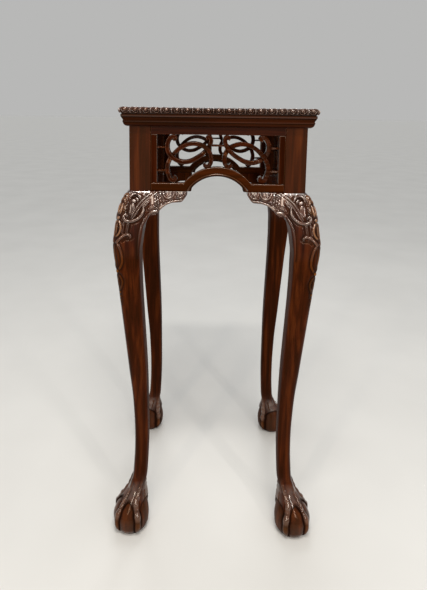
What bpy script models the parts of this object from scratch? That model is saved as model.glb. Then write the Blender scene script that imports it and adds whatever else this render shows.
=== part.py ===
"""A tall square stand: a square top on four carved cabriole legs with claw-and-ball feet and pierced fret aprons.

Frame: the floor is z = 0, +Z is up, the origin is the middle of the floor under the top, the front faces -Y.
Pieces of one side are drawn at the front and turned about the vertical axis to the other three sides.
"""

import math

import bmesh
import bpy
from mathutils import Matrix

# Driving dimensions in metres
HEIGHT = 0.836
GAP = 0.0003

POST = 0.0385

TOP_SPREAD = 0.3558
TOP_OVERHANG = 0.0169
EDGE_LIP = 0.0036
EDGE_WIDTH = 0.012
EDGE_HEIGHT = 0.013
PANEL_RECESS = 0.0015
EGGS_PER_SIDE = 19
EGG_RELIEF = 0.0024

CORNICE_HEIGHT = 0.0215

APRON_DEPTH = 0.1395
TOP_RAIL = 0.036
BOTTOM_RAIL = 0.0142
STILE = 0.0115
RAIL_THICK = 0.020
RAIL_SETBACK = 0.0015
TENON_LENGTH = 0.018
TENON_THICK = 0.008
TENON_SHOULDER = 0.0025

ARCH_HALF = 0.0515
ARCH_RISE = 0.0282
ARCH_BAND = 0.0116
BEAD = 0.005
BEAD_PROUD = 0.0015

FRET_DEPTH = 0.018
STRAP = 0.008
TIE = 0.0055

KNEE_LEDGE = 0.0025
KNEE_REACH = 0.0285
SHAFT_THICK = 0.040
ANKLE_THICK = 0.0275
ANKLE_HEIGHT = 0.105
FOOT_WIDTH = 0.069
FOOT_REACH = 0.0355
CLAW = 0.008

BRACKET_REACH = 0.067
BRACKET_DROP = 0.0435
BRACKET_PROUD = 0.003
BRACKET_DEPTH = 0.022

BLOCK_REACH = 0.040
BLOCK_LIFT = 0.002
SCREW_RADIUS = 0.002
SCREW_HEAD = 0.004
SCREW_BITE = 0.009

# Levels and faces that follow from the driving dimensions
POST_SPREAD = TOP_SPREAD - 2 * TOP_OVERHANG
CORNICE_REACH = TOP_OVERHANG - EDGE_LIP
FRONT = POST_SPREAD / 2
POST_INNER = FRONT - POST
RAIL_FACE = FRONT - RAIL_SETBACK
RAIL_BACK = RAIL_FACE - RAIL_THICK
RAIL_MIDDLE = (RAIL_FACE + RAIL_BACK) / 2
RAIL_END = POST_INNER - GAP
OPENING = POST_INNER - STILE
Z_UNDER = HEIGHT - EDGE_HEIGHT
Z_FRAME = Z_UNDER - GAP
Z_APRON = Z_UNDER - APRON_DEPTH
Z_SILL = Z_APRON + BOTTOM_RAIL
Z_HEAD = Z_UNDER - TOP_RAIL
ARCH_RADIUS = (ARCH_HALF ** 2 + ARCH_RISE ** 2) / (2 * ARCH_RISE)
ARCH_CENTRE = Z_APRON + ARCH_RISE - ARCH_RADIUS
BAND_RADIUS = ARCH_RADIUS + BEAD + ARCH_BAND
SIDES = ("front", "right", "rear", "left")
CORNERS = ("front_left", "front_right", "rear_right", "rear_left")

# Leg outline: each station is a height and how far the outer face stands beyond the post there.
# The knee is set out down from the apron, the foot and the ankle up from the floor; the shaft runs between them.
KNEE_END = Z_APRON - 0.168
ANKLE_TOP = ANKLE_HEIGHT + 0.085
SHAFT_RUN = KNEE_END - ANKLE_TOP
LEG_REACH = (
    (0.0, FOOT_REACH - 0.0105),
    (0.005, FOOT_REACH - 0.005),
    (0.014, FOOT_REACH - 0.001),
    (0.028, FOOT_REACH),
    (0.042, FOOT_REACH - 0.004),
    (0.055, FOOT_REACH - 0.013),
    (0.066, FOOT_REACH - 0.0215),
    (0.077, FOOT_REACH - 0.029),
    (0.088, 0.0027),
    (ANKLE_HEIGHT, -0.0017),
    (ANKLE_TOP, -0.0055),
    (ANKLE_TOP + 0.22 * SHAFT_RUN, -0.0028),
    (ANKLE_TOP + 0.44 * SHAFT_RUN, 0.0041),
    (ANKLE_TOP + 0.75 * SHAFT_RUN, 0.0138),
    (KNEE_END, KNEE_REACH - 0.0067),
    (Z_APRON - 0.134, KNEE_REACH - 0.003),
    (Z_APRON - 0.103, KNEE_REACH),
    (Z_APRON - 0.068, KNEE_REACH - 0.0035),
    (Z_APRON - 0.043, KNEE_REACH - 0.007),
    (Z_APRON - 0.025, KNEE_REACH - 0.0115),
    (Z_APRON - 0.011, KNEE_REACH - 0.018),
    (Z_APRON - GAP, KNEE_LEDGE),
)

# The leg's thickness, from the floor to the lower end of the knee.
LEG_THICK = (
    (0.0, FOOT_WIDTH - 0.021),
    (0.005, FOOT_WIDTH - 0.010),
    (0.014, FOOT_WIDTH - 0.002),
    (0.028, FOOT_WIDTH),
    (0.042, FOOT_WIDTH - 0.005),
    (0.055, FOOT_WIDTH - 0.017),
    (0.066, FOOT_WIDTH - 0.027),
    (0.077, ANKLE_THICK + 0.0065),
    (0.088, ANKLE_THICK + 0.002),
    (ANKLE_HEIGHT, ANKLE_THICK + 0.0007),
    (ANKLE_TOP, ANKLE_THICK),
    (ANKLE_TOP + 0.22 * SHAFT_RUN, SHAFT_THICK - 0.0104),
    (ANKLE_TOP + 0.44 * SHAFT_RUN, SHAFT_THICK - 0.005),
    (ANKLE_TOP + 0.75 * SHAFT_RUN, SHAFT_THICK),
    (KNEE_END, SHAFT_THICK + 0.0042),
    (Z_APRON - 0.134, SHAFT_THICK + 0.0075),
    (Z_APRON - 0.103, SHAFT_THICK + 0.011),
)

# Directions of the four claws round the foot in degrees; the foot's outward corner is at 45.
CLAW_TURNS = (45.0, 120.0, 225.0, 330.0)

# How far the claws stand out of the ball, as shares of their full height, from the ankle down to the floor.
CLAW_RISE = (
    (0.077, 0.1),
    (0.066, 0.45),
    (0.055, 0.8),
    (0.042, 0.9),
    (0.028, 0.65),
    (0.014, 0.5),
    (0.005, 0.25),
    (0.0, 0.0),
)

# Lower edge of a knee bracket: share of the way from the leg to the tip, and the depth of the bracket there.
BRACKET_EDGE = (
    (0.0, BRACKET_DROP),
    (0.17, 0.95 * BRACKET_DROP),
    (0.32, 0.72 * BRACKET_DROP),
    (0.45, 0.57 * BRACKET_DROP),
    (0.6, 0.49 * BRACKET_DROP),
    (0.83, 0.465 * BRACKET_DROP),
    (0.94, 0.3 * BRACKET_DROP),
    (1.0, 0.14 * BRACKET_DROP),
)

# The two straps of the fret's right half, in shares of the opening's half width and of its height.
# The first hangs from the top rail, the second stands on the bottom rail and on the arch.
HANGING_STRAP = (
    (0.68, 1.04), (0.76, 0.93), (0.85, 0.77), (0.82, 0.61), (0.74, 0.50), (0.63, 0.44),
    (0.50, 0.43), (0.38, 0.48), (0.26, 0.57), (0.17, 0.66), (0.11, 0.80), (0.13, 0.93), (0.21, 1.04),
)
STANDING_STRAP = (
    (0.62, -0.04), (0.71, 0.07), (0.81, 0.21), (0.83, 0.36), (0.78, 0.51), (0.70, 0.66), (0.59, 0.76),
    (0.45, 0.81), (0.31, 0.80), (0.20, 0.72), (0.13, 0.60), (0.11, 0.45), (0.16, 0.34), (0.25, 0.24),
)


def clear_scene():
    for old in list(bpy.data.objects):
        bpy.data.objects.remove(old)


def finish(name, colour, roughness, metallic=0.0):
    """A plain surface finish with the piece's own colour."""
    material = bpy.data.materials.new(name)
    material.use_nodes = True
    shader = material.node_tree.nodes["Principled BSDF"]
    shader.inputs["Base Color"].default_value = (*colour, 1.0)
    shader.inputs["Roughness"].default_value = roughness
    shader.inputs["Metallic"].default_value = metallic
    return material


def put(name, mesh, material, quarter_turns=0):
    """A named piece of the stand, turned about the vertical axis to its side or corner."""
    piece = bpy.data.objects.new(name, mesh)
    piece.rotation_euler.z = quarter_turns * math.pi / 2
    if not mesh.materials:
        mesh.materials.append(material)
        mesh.shade_smooth()
        mesh.set_sharp_from_angle(angle=math.radians(35.0))
    bpy.context.scene.collection.objects.link(piece)


def to_mesh(name, work):
    """The finished mesh of a shape, with its faces turned outwards."""
    bmesh.ops.recalc_face_normals(work, faces=work.faces)
    mesh = bpy.data.meshes.new(name)
    work.to_mesh(mesh)
    work.free()
    return mesh


def loft(name, rings):
    """A closed solid through rings of equally many points, with a flat cap on each end."""
    work = bmesh.new()
    loops = [[work.verts.new(point) for point in ring] for ring in rings]
    count = len(loops[0])
    for low, high in zip(loops, loops[1:]):
        for i in range(count):
            j = (i + 1) % count
            work.faces.new((low[i], low[j], high[j], high[i]))
    work.faces.new(loops[0])
    work.faces.new(loops[-1])
    return to_mesh(name, work)


def prism(name, outline, back, front):
    """An outline drawn in x and z, made solid from y = back to y = front."""
    work = bmesh.new()
    face = work.faces.new([work.verts.new((x, back, z)) for x, z in outline])
    grown = bmesh.ops.extrude_face_region(work, geom=[face])
    moved = [item for item in grown["geom"] if isinstance(item, bmesh.types.BMVert)]
    bmesh.ops.translate(work, verts=moved, vec=(0.0, front - back, 0.0))
    return to_mesh(name, work)


def box(name, low, high):
    outline = ((low[0], low[2]), (high[0], low[2]), (high[0], high[2]), (low[0], high[2]))
    return prism(name, outline, low[1], high[1])


def turned(name, profile, x, y, segments=12):
    """A turned piece on a vertical axis; its profile lists radius and height from the bottom up."""
    turns = [2 * math.pi * i / segments for i in range(segments)]
    rings = []
    for radius, z in profile:
        rings.append([(x + radius * math.cos(t), y + radius * math.sin(t), z) for t in turns])
    return loft(name, rings)


def quarter(mesh, quarter_turns):
    mesh.transform(Matrix.Rotation(quarter_turns * math.pi / 2, 4, "Z"))
    return mesh


def combined(name, first, steps):
    """The first mesh with further meshes joined to it, cut from it or kept in common with it, in turn."""
    base = bpy.data.objects.new(name, first)
    bpy.context.scene.collection.objects.link(base)
    helpers = []
    for operation, mesh in steps:
        helper = bpy.data.objects.new(name + "_helper", mesh)
        helper.hide_render = True
        helper.display_type = "WIRE"
        bpy.context.scene.collection.objects.link(helper)
        helpers.append(helper)
        step = base.modifiers.new(operation.title(), "BOOLEAN")
        step.operation = operation
        step.solver = "EXACT"
        step.object = helper
    bpy.context.view_layer.update()
    graph = bpy.context.evaluated_depsgraph_get()
    mesh = bpy.data.meshes.new_from_object(base.evaluated_get(graph))
    mesh.name = name
    for helper in [base, *helpers]:
        bpy.data.objects.remove(helper)
    return mesh


def smooth(stations, where):
    """A value read off a fair curve through (place, value) stations, with no overshoot between them."""
    places = [at for at, _ in stations]
    values = [value for _, value in stations]
    slopes = []
    for k in range(len(places) - 1):
        slopes.append((values[k + 1] - values[k]) / (places[k + 1] - places[k]))
    tangents = [slopes[0]]
    for before, after in zip(slopes, slopes[1:]):
        tangents.append(2 * before * after / (before + after) if before * after > 0 else 0.0)
    tangents.append(slopes[-1])
    k = 0
    while k < len(slopes) - 1 and where > places[k + 1]:
        k += 1
    span = places[k + 1] - places[k]
    t = min(max((where - places[k]) / span, 0.0), 1.0)
    level = (1 + 2 * t) * (1 - t) ** 2 * values[k] + t * t * (3 - 2 * t) * values[k + 1]
    return level + span * t * (1 - t) * ((1 - t) * tangents[k] - t * tangents[k + 1])


def fair_path(points, steps):
    """A fair curve through the points, with so many steps from each point to the next."""
    path = []
    last = len(points) - 1
    for k in range(last):
        p = [points[max(0, min(last, i))] for i in (k - 1, k, k + 1, k + 2)]
        for step in range(steps):
            t = step / steps
            weights = (
                -t + 2 * t ** 2 - t ** 3,
                2 - 5 * t ** 2 + 3 * t ** 3,
                t + 4 * t ** 2 - 3 * t ** 3,
                -t ** 2 + t ** 3,
            )
            path.append([sum(w * q[axis] for w, q in zip(weights, p)) / 2 for axis in (0, 1)])
    path.append(list(points[-1]))
    return path


def ribbon(name, path, width, back, front):
    """A strap of one width that follows a path in x and z, from y = back to y = front."""
    rings = []
    for k, (x, z) in enumerate(path):
        before = path[max(k - 1, 0)]
        after = path[min(k + 1, len(path) - 1)]
        along = math.hypot(after[0] - before[0], after[1] - before[1])
        across_x = (before[1] - after[1]) / along * width / 2
        across_z = (after[0] - before[0]) / along * width / 2
        left = (x - across_x, z - across_z)
        right = (x + across_x, z + across_z)
        corners = ((left, back), (right, back), (right, front), (left, front))
        rings.append([(at[0], y, at[1]) for at, y in corners])
    return loft(name, rings)


def arch(radius, level, count):
    """Points on the arch of this radius from its left end to its right end, both at the height level."""
    half_turn = math.acos((level - ARCH_CENTRE) / radius)
    turns = [half_turn * (2 * i / count - 1) for i in range(count + 1)]
    return [(radius * math.sin(t), ARCH_CENTRE + radius * math.cos(t)) for t in turns]


def mitred(name, sections):
    """A moulding of one side. Each section is its place along the side from -1 to 1 and its (reach, z) outline."""
    rings = []
    for along, outline in sections:
        rings.append([(along * (reach - GAP), -reach, z) for reach, z in outline])
    return loft(name, rings)


def leg_outer(z):
    return FRONT + smooth(LEG_REACH, z)


def leg_inner(z):
    """The inner face: set by the thickness up to the knee, then swept in to the post's face behind the brackets."""
    knee, thick = LEG_THICK[-1]
    if z <= knee:
        return leg_outer(z) - smooth(LEG_THICK, z)
    flush = Z_APRON - 0.9 * BRACKET_DROP
    start = leg_outer(knee) - thick
    bend = knee + 0.62 * (flush - knee)
    return smooth(((knee, start), (bend, POST_INNER + 0.63 * (start - POST_INNER)), (flush, POST_INNER)), z)


def leg_ring(z, outer_power, inner_power, claw=0.0):
    """A section of the leg: a square with softened corners, or a round ball under four claws."""
    middle = (leg_outer(z) + leg_inner(z)) / 2
    half = (leg_outer(z) - leg_inner(z)) / 2
    ring = []
    for k in range(24):
        turn = 2 * math.pi * k / 24
        outward = max(0.0, math.cos(turn - math.pi / 4)) ** 2
        power = inner_power + (outer_power - inner_power) * outward
        side = abs(math.cos(turn)) ** power + abs(math.sin(turn)) ** power
        nearest = min(abs(math.remainder(turn - math.radians(at), 2 * math.pi)) for at in CLAW_TURNS)
        ridge = math.cos(min(3 * nearest, math.pi / 2)) ** 2
        radius = half / side ** (1 / power) + claw * ridge
        ring.append((-middle - radius * math.cos(turn), -middle - radius * math.sin(turn), z))
    return ring


def post_ring(z):
    middle = FRONT - POST / 2
    ring = []
    for k in range(24):
        turn = 2 * math.pi * k / 24
        radius = POST / 2 / max(abs(math.cos(turn)), abs(math.sin(turn)))
        ring.append((-middle - radius * math.cos(turn), -middle - radius * math.sin(turn), z))
    return ring


def tenon(side, low, high, clear):
    """A rail's tenon at its left (-1) or right (1) end or, with some clearance, the mortise that takes it."""
    root = POST_INNER - 0.002
    tip = POST_INNER + TENON_LENGTH + clear
    ends = sorted((side * root, side * tip))
    half = TENON_THICK / 2 + clear
    start = (ends[0], -RAIL_MIDDLE - half, low + TENON_SHOULDER - clear)
    stop = (ends[1], -RAIL_MIDDLE + half, high - TENON_SHOULDER + clear)
    return box("tenon", start, stop)


def leg_mesh():
    """Post, knee, shaft and claw-and-ball foot in one timber, with two mortises for the rails of each side."""
    rings = [post_ring(Z_FRAME), post_ring(Z_APRON)]
    for drop, power in ((GAP, 10), (0.011, 7), (0.025, 5), (0.043, 4.5), (0.056, 4.5), (0.068, 4.5)):
        rings.append(leg_ring(Z_APRON - drop, power, 12))
    for drop in (0.085, 0.103, 0.134, 0.168):
        rings.append(leg_ring(Z_APRON - drop, 4.5, 9))
    for share in (0.88, 0.75, 0.6, 0.44, 0.22, 0.0):
        rings.append(leg_ring(ANKLE_TOP + share * SHAFT_RUN, 4, 6))
    for z in (ANKLE_TOP - 0.04, ANKLE_HEIGHT, 0.088):
        rings.append(leg_ring(z, 3, 3.4))
    for z, share in CLAW_RISE:
        rings.append(leg_ring(z, 2, 2, share * CLAW))
    cuts = []
    for low, high in ((Z_HEAD, Z_FRAME), (Z_APRON, Z_SILL)):
        cuts.append(tenon(-1, low, high, GAP))
        cuts.append(quarter(tenon(1, low, high, GAP), -1))
    return combined("leg", loft("leg_blank", rings), [("DIFFERENCE", cut) for cut in cuts])


def bracket_mesh(side):
    """A knee bracket at the left (-1) or right (1) end of the apron, swelling from its tip to the knee's face."""
    rings = []
    for u in (0.0, 0.1, 0.2, 0.32, 0.45, 0.62, 0.83, 0.89, 0.94, 1.0):
        x = side * (POST_INNER - GAP - u * BRACKET_REACH)
        flat = u * u * (3 - 2 * u)
        depth = smooth(BRACKET_EDGE, u)
        top = Z_APRON - GAP
        ring = [(x, -FRONT + BRACKET_DEPTH, top)]
        for share in (0.0, 0.25, 0.55, 0.85, 1.0):
            z = top - share * (depth - GAP)
            reach = (1 - flat) * leg_outer(z) + flat * (FRONT + BRACKET_PROUD)
            ring.append((x, -reach, z))
        ring.append((x, -FRONT + BRACKET_DEPTH, top - depth + GAP))
        rings.append(ring)
    return loft("bracket", rings)


def rail_mesh(name, outline, low, high):
    """A rail sawn to its outline, with a tenon at each end."""
    board = prism(name, outline, -RAIL_BACK, -RAIL_FACE)
    return combined(name, board, [("UNION", tenon(side, low, high, 0.0)) for side in (-1, 1)])


def top_rail_mesh():
    outline = ((-RAIL_END, Z_HEAD), (RAIL_END, Z_HEAD), (RAIL_END, Z_FRAME), (-RAIL_END, Z_FRAME))
    return rail_mesh("top_rail", outline, Z_HEAD, Z_FRAME)


def arched_rail_mesh():
    """The bottom rail: a narrow bar that rises over the arch in a band of one width."""
    outline = [(-RAIL_END, Z_APRON), *arch(ARCH_RADIUS + BEAD, Z_APRON, 18), (RAIL_END, Z_APRON), (RAIL_END, Z_SILL)]
    outline += arch(BAND_RADIUS, Z_SILL, 18)[::-1]
    outline.append((-RAIL_END, Z_SILL))
    return rail_mesh("arched_rail", outline, Z_APRON, Z_SILL)


def arch_bead_mesh():
    """A bead bent along the underside of the arch, standing a little proud of the rail's face."""
    outline = arch(ARCH_RADIUS + BEAD - GAP, Z_APRON, 18) + arch(ARCH_RADIUS, Z_APRON, 18)[::-1]
    return prism("arch_bead", outline, -RAIL_BACK, -RAIL_FACE - BEAD_PROUD)


def stile_mesh(side):
    ends = sorted((side * OPENING, side * RAIL_END))
    return box("stile", (ends[0], -RAIL_FACE, Z_SILL + GAP), (ends[1], -RAIL_BACK, Z_HEAD - GAP))


def fret_mesh():
    """Interlaced straps joined where they cross, with short ties, trimmed to fit between rails, stiles and arch."""
    back = -RAIL_MIDDLE + FRET_DEPTH / 2
    front = -RAIL_MIDDLE - FRET_DEPTH / 2
    height = Z_HEAD - Z_SILL
    joined = []
    for side in (-1, 1):
        for strap in (HANGING_STRAP, STANDING_STRAP):
            drawn = [(side * u * OPENING, Z_SILL + v * height) for u, v in strap]
            joined.append(ribbon("strap", fair_path(drawn, 2), STRAP, back, front))
        for inner, v in ((0.83, 0.745), (0.81, 0.253)):
            z = Z_SILL + v * height
            drawn = [(side * inner * OPENING, z), (side * 1.02 * OPENING, z)]
            joined.append(ribbon("tie", drawn, TIE, back, front))
    z = Z_SILL + 0.78 * height
    joined.append(ribbon("tie", [(-0.11 * OPENING, z), (0.11 * OPENING, z)], TIE, back, front))
    wide = OPENING - GAP
    low = Z_SILL + GAP
    high = Z_HEAD - GAP
    outline = [(-wide, low), *arch(BAND_RADIUS + GAP, low, 18), (wide, low), (wide, high), (-wide, high)]
    room = prism("opening", outline, -RAIL_BACK, -RAIL_FACE)
    steps = [("UNION", mesh) for mesh in joined[1:]]
    return combined("fret", joined[0], steps + [("INTERSECT", room)])


def edge_mesh():
    """A carved ovolo whose eggs swell out of the hollows between them; each end is mitred."""
    half = TOP_SPREAD / 2
    sections = []
    for k in range(2 * EGGS_PER_SIDE + 1):
        hollow = EGG_RELIEF if k % 2 == 0 else 0.0
        outline = (
            (half - EDGE_WIDTH, Z_UNDER),
            (half - 0.0055, Z_UNDER),
            (half - 0.0022 - 0.7 * hollow, Z_UNDER + 0.21 * EDGE_HEIGHT),
            (half - hollow, Z_UNDER + 0.5 * EDGE_HEIGHT),
            (half - 0.003 - 0.8 * hollow, Z_UNDER + 0.8 * EDGE_HEIGHT),
            (half - 0.0068, HEIGHT - 0.5 * hollow),
            (half - EDGE_WIDTH, HEIGHT - 0.5 * hollow),
        )
        sections.append((k / EGGS_PER_SIDE - 1, outline))
    return mitred("edge_moulding", sections)


def cornice_mesh():
    """An ovolo, a hollow and a square fillet from the bottom up, mitred at each end."""
    low = Z_FRAME - CORNICE_HEIGHT
    steps = (
        (0.2, 0), (0.42, 0.04), (0.62, 0.16), (0.73, 0.34), (0.73, 0.57), (0.8, 0.7), (0.94, 0.79), (1, 0.81), (1, 1),
    )
    outline = [(FRONT + GAP, low)]
    outline += [(FRONT + reach * CORNICE_REACH, low + rise * CORNICE_HEIGHT) for reach, rise in steps]
    outline.append((FRONT + GAP, Z_FRAME))
    return mitred("cornice", [(-1, outline), (1, outline)])


def screw_place():
    """Midway between the post's inner corner and the long face of the corner block."""
    corner = 2 * (POST_INNER - GAP)
    face = POST_INNER - GAP - BLOCK_REACH + RAIL_BACK - GAP
    return -(corner + face) / 4


def screw_mesh(clear):
    """A countersunk wood screw up through the corner block or, with some clearance, the hole that takes it."""
    foot = Z_HEAD + BLOCK_LIFT
    start = foot - 0.001 if clear else foot + 0.0005
    profile = (
        (SCREW_HEAD + clear, start),
        (SCREW_HEAD + clear, foot + 0.002),
        (SCREW_RADIUS + clear, foot + 0.0045),
        (SCREW_RADIUS + clear, Z_UNDER + SCREW_BITE + clear),
    )
    return turned("screw", profile, screw_place(), screw_place())


def block_mesh():
    """A corner block in the angle of two rails, notched round the inner corner of the post."""
    post = -POST_INNER + GAP
    rail = -RAIL_BACK + GAP
    tip = post + BLOCK_REACH
    plan = ((post, rail), (tip, rail), (rail, tip), (rail, post), (post, post))
    rings = [[(x, y, z) for x, y in plan] for z in (Z_HEAD + BLOCK_LIFT, Z_FRAME)]
    return combined("corner_block", loft("block_blank", rings), [("DIFFERENCE", screw_mesh(GAP))])


def panel_mesh():
    """The square top, with a blind hole for the screw at each corner."""
    half = TOP_SPREAD / 2 - EDGE_WIDTH - GAP
    blank = box("panel_blank", (-half, -half, Z_UNDER), (half, half, HEIGHT - PANEL_RECESS))
    holes = [("DIFFERENCE", quarter(screw_mesh(GAP), turns)) for turns in range(4)]
    return combined("top_panel", blank, holes)


clear_scene()
mahogany = finish("polished_mahogany", (0.12, 0.030, 0.016), 0.28)
carved = finish("carved_mahogany", (0.14, 0.038, 0.017), 0.32)
lining = finish("plain_hardwood", (0.20, 0.11, 0.055), 0.65)
steel = finish("screw_steel", (0.42, 0.41, 0.40), 0.40, 1.0)

put("top_panel", panel_mesh(), mahogany)
edge, cornice, top_rail, arched_rail = edge_mesh(), cornice_mesh(), top_rail_mesh(), arched_rail_mesh()
fret, bead = fret_mesh(), arch_bead_mesh()
left_stile, right_stile = stile_mesh(-1), stile_mesh(1)
left_bracket, right_bracket = bracket_mesh(-1), bracket_mesh(1)
for turns, side in enumerate(SIDES):
    put("edge_moulding_" + side, edge, carved, turns)
    put("cornice_" + side, cornice, mahogany, turns)
    put("top_rail_" + side, top_rail, mahogany, turns)
    put("arched_rail_" + side, arched_rail, mahogany, turns)
    put("arch_bead_" + side, bead, mahogany, turns)
    put("fret_" + side, fret, mahogany, turns)
    put("stile_" + side + "_a", left_stile, mahogany, turns)
    put("stile_" + side + "_b", right_stile, mahogany, turns)
    put("knee_bracket_" + side + "_a", left_bracket, carved, turns)
    put("knee_bracket_" + side + "_b", right_bracket, carved, turns)

leg, block, screw = leg_mesh(), block_mesh(), screw_mesh(0.0)
for turns, corner in enumerate(CORNERS):
    put("leg_" + corner, leg, carved, turns)
    put("corner_block_" + corner, block, lining, turns)
    put("top_screw_" + corner, screw, steel, turns)
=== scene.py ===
import bpy
import numpy as np
from mathutils import Matrix, Vector


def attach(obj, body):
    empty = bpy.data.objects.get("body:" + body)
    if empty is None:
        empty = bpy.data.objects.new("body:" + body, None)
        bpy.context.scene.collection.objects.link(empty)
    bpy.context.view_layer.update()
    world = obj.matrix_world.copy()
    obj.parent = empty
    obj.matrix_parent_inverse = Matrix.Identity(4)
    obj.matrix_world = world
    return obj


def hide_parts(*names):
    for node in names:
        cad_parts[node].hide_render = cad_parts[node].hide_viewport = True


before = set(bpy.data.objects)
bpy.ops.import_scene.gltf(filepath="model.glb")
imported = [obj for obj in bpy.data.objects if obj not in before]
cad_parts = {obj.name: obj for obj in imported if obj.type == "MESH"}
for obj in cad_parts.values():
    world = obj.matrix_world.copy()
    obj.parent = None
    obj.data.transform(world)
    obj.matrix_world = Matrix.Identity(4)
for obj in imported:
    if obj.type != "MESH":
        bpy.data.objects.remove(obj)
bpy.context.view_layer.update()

# ----------------------------------------------------------
# Legs
# Each leg is one length of mahogany: a square post that takes the rails in mortises, a carved
# knee, a cabriole shaft and a foot carved as four claws on a ball. Sizes are in millimetres and
# are measured from the stand's middle planes and from the floor.
CORNERS = ("front_left", "front_right", "rear_right", "rear_left")
MM = 0.001

FIT = 0.3  # the gap that is kept between neighbouring pieces
POST_FACE, POST_INNER, POST_EASED = 161.0, 122.5, 0.3
FRAME_TOP, APRON_FOOT = 822.7, 683.5
LEDGE = APRON_FOOT - FIT
KNEE_FOOT, BRACKET_JOINT = 580.5, 646.0
FOOT_TOP, CARVED_FROM = 100.0, 465.0
FACE_COLUMNS, SIDE_COLUMNS = 70, 28
KNEE_GROUND, CHAIN_GROUND = 1.6, 1.1  # how deep the ground is sunk beside the carving

# Height, and how far the leg's outer faces stand from the middle plane there.
LEG_FACE = (
    (0, 186.0), (5, 191.5), (14, 195.5), (28, 196.5), (42, 192.5), (55, 183.5), (66, 175.0),
    (77, 167.5), (88, 163.7), (105, 159.3), (190, 155.5), (261.6, 158.2), (333.2, 165.1),
    (434.1, 174.8), (515.5, 182.8), (549.5, 186.5), (580.5, 189.5), (615.5, 186.0),
    (640.5, 182.5), (658.5, 178.0), (672.5, 171.5), (LEDGE, 163.5),
)
# Height and thickness up to the knee; above it the inner face sweeps in to the post.
LEG_THICK = (
    (0, 48.0), (5, 59.0), (14, 67.0), (28, 69.0), (42, 64.0), (55, 52.0), (66, 42.0), (77, 34.0),
    (88, 29.5), (105, 28.2), (190, 27.5), (261.6, 29.6), (333.2, 35.0), (434.1, 40.0),
    (515.5, 44.2), (549.5, 47.5), (KNEE_FOOT, 51.0),
)
KNEE_INNER = ((KNEE_FOOT, 138.5), (620.1, 132.6), (644.35, POST_INNER), (LEDGE, POST_INNER))
# Height, and how square the section is there at its outer and its inner corner; 2 is round.
LEG_CORNER = (
    (0, 2.0, 2.0), (77, 2.0, 2.0), (92, 3.0, 3.4), (150, 3.0, 3.4), (190, 4.0, 6.0),
    (476, 4.0, 6.0), (515, 4.5, 9.0), (598, 4.5, 9.0), (616, 4.5, 12.0), (636, 4.5, 16.0),
    (648, 4.7, 44.0), (658.5, 5.0, 44.0), (672.5, 7.0, 44.0), (LEDGE, 10.0, 44.0),
)


def fair(stations, where):
    """Values on a fair curve through (place, value) stations, with no overshoot between them."""
    places, values = np.array(stations, float).T
    slopes = np.diff(values) / np.diff(places)
    before, after = slopes[:-1], slopes[1:]
    same_way = before * after > 0
    inner = np.where(same_way, 2 * before * after / np.where(same_way, before + after, 1), 0)
    tangents = np.concatenate((slopes[:1], inner, slopes[-1:]))
    where = np.asarray(where, float)
    k = np.clip(np.searchsorted(places, where) - 1, 0, len(slopes) - 1)
    span = places[k + 1] - places[k]
    t = np.clip((where - places[k]) / span, 0, 1)
    level = (1 + 2 * t) * (1 - t) ** 2 * values[k] + t * t * (3 - 2 * t) * values[k + 1]
    return level + span * t * (1 - t) * ((1 - t) * tangents[k] - t * tangents[k + 1])


def slope(value, start, end):
    """0 up to start, 1 from end on, and an even slope between the two, which may run either way."""
    return np.clip((value - start) / (end - start), 0, 1)


def around(value, place, width, power=2):
    """1 at a place, dying out over a width to each side."""
    return np.exp(-((value - place) / width) ** power)


def dome(away, power=2, fullness=0.6):
    """A rounded swelling: 1 in the middle, and 0 where away comes to 1."""
    return np.clip(1 - abs(away) ** power, 0, 1) ** fullness


def leg_face(z):
    """How far the leg's outer faces stand from the middle plane at a height."""
    return fair(LEG_FACE, z)


def leg_inner(z):
    """How far its inner faces stand from the middle plane."""
    return np.where(z <= KNEE_FOOT, leg_face(z) - fair(LEG_THICK, z), fair(KNEE_INNER, z))


def drawn(points, steps=6):
    """A fair line through the points of a pattern."""
    p = np.array(points, float)
    p = np.vstack((2 * p[0] - p[1], p, 2 * p[-1] - p[-2]))
    t = np.arange(steps)[:, None] / steps
    parts = []
    for a, b, c, d in zip(p, p[1:], p[2:], p[3:]):
        bend = 2 * a - 5 * b + 4 * c - d + t * (3 * b - a - 3 * c + d)
        parts.append(b + 0.5 * t * (c - a + t * bend))
    return np.concatenate(parts + [p[-2:-1]])


def follow(line, at):
    """How far each point lies from a drawn line, and how far along the line its nearest place is."""
    steps = np.diff(line, axis=0)
    lengths = np.hypot(*steps.T)
    starts = np.concatenate(([0.0], np.cumsum(lengths)))
    nearest = np.full(len(at), np.inf)
    share = np.zeros(len(at))
    for a, step, length, start in zip(line, steps, lengths, starts):
        t = np.clip((at - a) @ step / length ** 2, 0, 1)
        away = np.hypot(*(at - a - t[:, None] * step).T)
        closer = away < nearest
        nearest[closer] = away[closer]
        share[closer] = (start + t[closer] * length) / starts[-1]
    return nearest, share


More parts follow.
